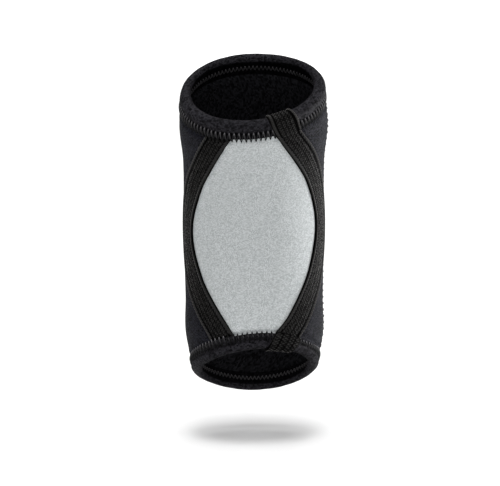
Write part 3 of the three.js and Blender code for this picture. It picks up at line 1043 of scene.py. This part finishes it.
def tape_material():
    """Woven elastic: speckled basket weave; the pale outer selvage is partly the yarn's own colour and partly
    a painted highlight, and the dark grooves and dark edge by the panel are painted shade.
    """
    shader = Shader(bpy.data.materials.new("tape_weave"))
    u, v = shader.surface_place()
    place = shader.scale(u, 1.0 / TAPE_WIDTH, 0.5)
    stripes_and_painted_light = shader.levels(place, [(stop, level / ZONE_SCALE) for stop, level in TAPE_STRIPES_AND_PAINTED_LIGHT])
    column = shader.times(u, 1.0 / YARN_WIDTH)
    row = shader.times(v, 1.0 / YARN_LENGTH)
    basket = shader.math("ABSOLUTE", shader.math(
        "SUBTRACT", shader.math("PINGPONG", column, 1.0), shader.math("PINGPONG", row, 1.0)))
    shade = shader.cell_shade(column, row)
    fine = shader.noise(1.2, 3.0, 0.65)
    mixed = shader.scale(shade, 0.25, shader.times(fine, 0.2))
    mixed = shader.scale(basket, 0.55, mixed)
    plain = shader.levels(place, PLAIN_STRIPS)
    mixed = shader.scale(plain, shader.math("SUBTRACT", PLAIN_LEVEL, mixed), mixed)
    tweed = shader.ramp(mixed, [(0.22, (0.005, 0.0048, 0.0047)), (0.78, (0.089, 0.086, 0.083))])
    inputs = {"Factor": 1.0, 6: tweed, 7: stripes_and_painted_light}
    colour = shader.add("Mix", inputs, data_type="RGBA", blend_type="MULTIPLY").outputs[2]
    colour = shader.darken(colour)
    roughness = shader.scale(fine, 0.25, 0.55)
    gloss = shader.scale(mixed, 1.7, -0.35)
    # The gloss follows the stripes with their painted highlights and shade, and is dimmed by the mesh's
    # painted shade
    gloss = shader.times(shader.math("MINIMUM", stripes_and_painted_light, 0.3), gloss)
    gloss = shader.math("MAXIMUM", shader.times(gloss, shader.mesh_painted_light()), 0.0)
    normal = shader.bump(shader.math("ADD", basket, fine), 0.8, 0.25)
    return shader.finish(
        Base_Color=colour, Roughness=roughness, Normal=normal, Specular_IOR_Level=shader.times(gloss, 0.6),
        Sheen_Weight=shader.times(gloss, 3.0), Sheen_Roughness=0.3, Sheen_Tint=(1.0, 0.97, 0.95, 1.0))


def thread_material(name, dark, pale, specular):
    """Twisted thread."""
    shader = Shader(bpy.data.materials.new(name))
    u, v = shader.surface_place()
    turn = shader.scale(v, 1.1, shader.times(u, 1.4))
    ply = shader.math("PINGPONG", turn, 0.5)
    fine = shader.noise(0.8, 2.0)
    mixed = shader.scale(fine, 0.7, shader.times(ply, 0.6))
    colour = shader.darken(shader.ramp(mixed, [(0.2, dark), (0.7, pale)]))
    roughness = shader.scale(fine, 0.15, 0.4)
    normal = shader.bump(ply, 0.6, 0.1)
    return shader.finish(Base_Color=colour, Roughness=roughness, Specular_IOR_Level=specular, Normal=normal)


def floor_material():
    shader = Shader(bpy.data.materials.new("floor_paper"))
    fine = shader.noise(40.0, 3.0)
    colour = shader.ramp(fine, [(0.3, (0.87, 0.87, 0.87)), (0.7, (0.89, 0.89, 0.89))])
    return shader.finish(Base_Color=colour, Roughness=0.9, Specular_IOR_Level=0.1)


def add_light(name, kind, strength, **settings):
    """New light in the scene."""
    light = bpy.data.lights.new(name, kind)
    light.energy = strength
    for key, value in settings.items():
        setattr(light, key, value)
    return add_object(name, light)


def add_sun(name, strength, spread, tilt):
    """Light from above; spread and tilt to the front in degrees."""
    lamp = add_light(name, "SUN", strength, angle=math.radians(spread))
    lamp.location = (0.0, 0.0, 2.0)
    lamp.rotation_euler = (math.radians(tilt), 0.0, 0.0)


def add_stage():
    """Pale floor under the floating sleeve, its surroundings and soft lights."""
    mesh = bpy.data.meshes.new("floor")
    signs = ((-1.0, -1.0), (1.0, -1.0), (1.0, 1.0), (-1.0, 1.0))
    corners = [(x * FLOOR_REACH, y * FLOOR_REACH, FLOOR_LEVEL) for x, y in signs]
    mesh.from_pydata(corners, [], [(0, 1, 2, 3)])
    mesh.materials.append(floor_material())
    floor = add_object("floor", mesh)
    bpy.context.scene.world = studio_world()
    add_sun("overhead", OVERHEAD_SUN, OVERHEAD_SPREAD, OVERHEAD_TILT)
    for index, tilt in enumerate(STRIP_TILTS):
        add_sun("strip_" + str(index), STRIP_SUN / len(STRIP_TILTS), STRIP_SPREAD, tilt)
    width, height = SIDE_SIZE
    side = add_light("side", "AREA", SIDE_LIGHT, shape="RECTANGLE", size=width, size_y=height)
    side.location = SIDE_PLACE
    side.rotation_euler = (-Vector(SIDE_PLACE)).to_track_quat("-Z", "Y").to_euler()


def studio_world():
    """Dim surroundings with a soft light from the front and a white backdrop behind the sleeve."""
    shader = Shader(bpy.data.worlds.new("studio"), "Background")
    place = shader.add("TexCoord").outputs["Generated"]
    backward = shader.add("SeparateXYZ", {0: place}).outputs["Y"]
    levels = []
    for low, high, dim, bright in (
        (0.0, -1.0, SURROUND_LIGHT, SURROUND_LIGHT + FRONT_LIGHT),
        (*BACKDROP_EDGE, 0.0, BACKDROP_LIGHT),
    ):
        inputs = {"Value": backward, "From Min": low, "From Max": high, "To Min": dim, "To Max": bright}
        levels.append(shader.add("MapRange", inputs).outputs[0])
    return shader.finish(Color=(1.0, 1.0, 1.0, 1.0), Strength=shader.math("ADD", *levels))


def add_camera():
    """Camera at the photograph's viewing angle."""
    distance = 1.5
    elevation = math.radians(5.4)
    target = Vector((-0.00265, 0.0, -0.0112))
    camera = bpy.data.cameras.new("camera")
    camera.sensor_width = 36.0
    camera.lens = 160.96
    camera.clip_end = 100.0
    view = add_object("camera", camera)
    offset = Vector((0.0, -math.cos(elevation), math.sin(elevation))) * distance
    turn = (-offset).to_track_quat("-Z", "Y").to_matrix()
    roll = Matrix.Rotation(math.radians(-0.28), 3, "Z")
    view.location = target + offset
    view.rotation_euler = (turn @ roll).to_euler()
    bpy.context.scene.camera = view


def add_walls(cloths):
    """The three padded walls of the tube."""
    for name, node, slot, columns, first, last in WALLS:
        swept = wall_sweep(first, last, columns, slot == "body_cloth")
        piece = make_piece(name, swept, (cloths[slot], cloths["lining_cloth"]), node)
        paint_lining(piece, columns)


def add_tapes(weave):
    """The two woven tapes."""
    for name, node, swept, length in (
        ("left_weave", "left_tape", left_tape_sweep(), 0.152),
        ("right_weave", "right_tape", right_tape_sweep(), 0.205),
    ):
        piece = make_piece(name, swept, (weave,), node)


def add_bindings(cloth):
    """The two strips folded over the rims."""
    for name, node, rim, flat in (
        ("top_fold", "top_binding", TOP, (0.0308, 0.303)),
        ("bottom_fold", "bottom_binding", BOTTOM, (0.0273, 0.267)),
    ):
        piece = make_piece(name, binding_sweep(rim), (cloth,), node)


def add_stitches(thread, hem_thread):
    """Zigzag threads on the bindings and the side seam, and rows of stitches along the tapes."""
    for name, rim in (("top", TOP), ("bottom", BOTTOM)):
        make_piece(name + "_zigzag", binding_thread(rim, False), (thread,))
        make_piece(name + "_hem_zigzag", binding_thread(rim, True), (hem_thread,))
    make_piece("side_zigzag", side_thread(), (thread,))
    for column in SIDES:
        swept = join_sweeps([tape_thread(column, OUTER_ROW), tape_thread(column, -INNER_ROW)])
        make_piece(column + "_stitches", swept, (thread,))


def main():
    cloths = {name: cloth_material(name, *looks) for name, looks in CLOTHS.items()}
    thread = thread_material("thread", (0.1, 0.098, 0.104), (0.28, 0.275, 0.288), 0.08)
    hem_thread = thread_material("hem_thread", (0.058, 0.056, 0.06), (0.16, 0.156, 0.164), 0.08)
    add_walls(cloths)
    add_tapes(tape_material())
    add_bindings(cloths["binding_cloth"])
    add_stitches(thread, hem_thread)
    add_stage()
    add_camera()
    bpy.context.scene.view_settings.view_transform = "Standard"
    bpy.context.view_layer.update()


main()
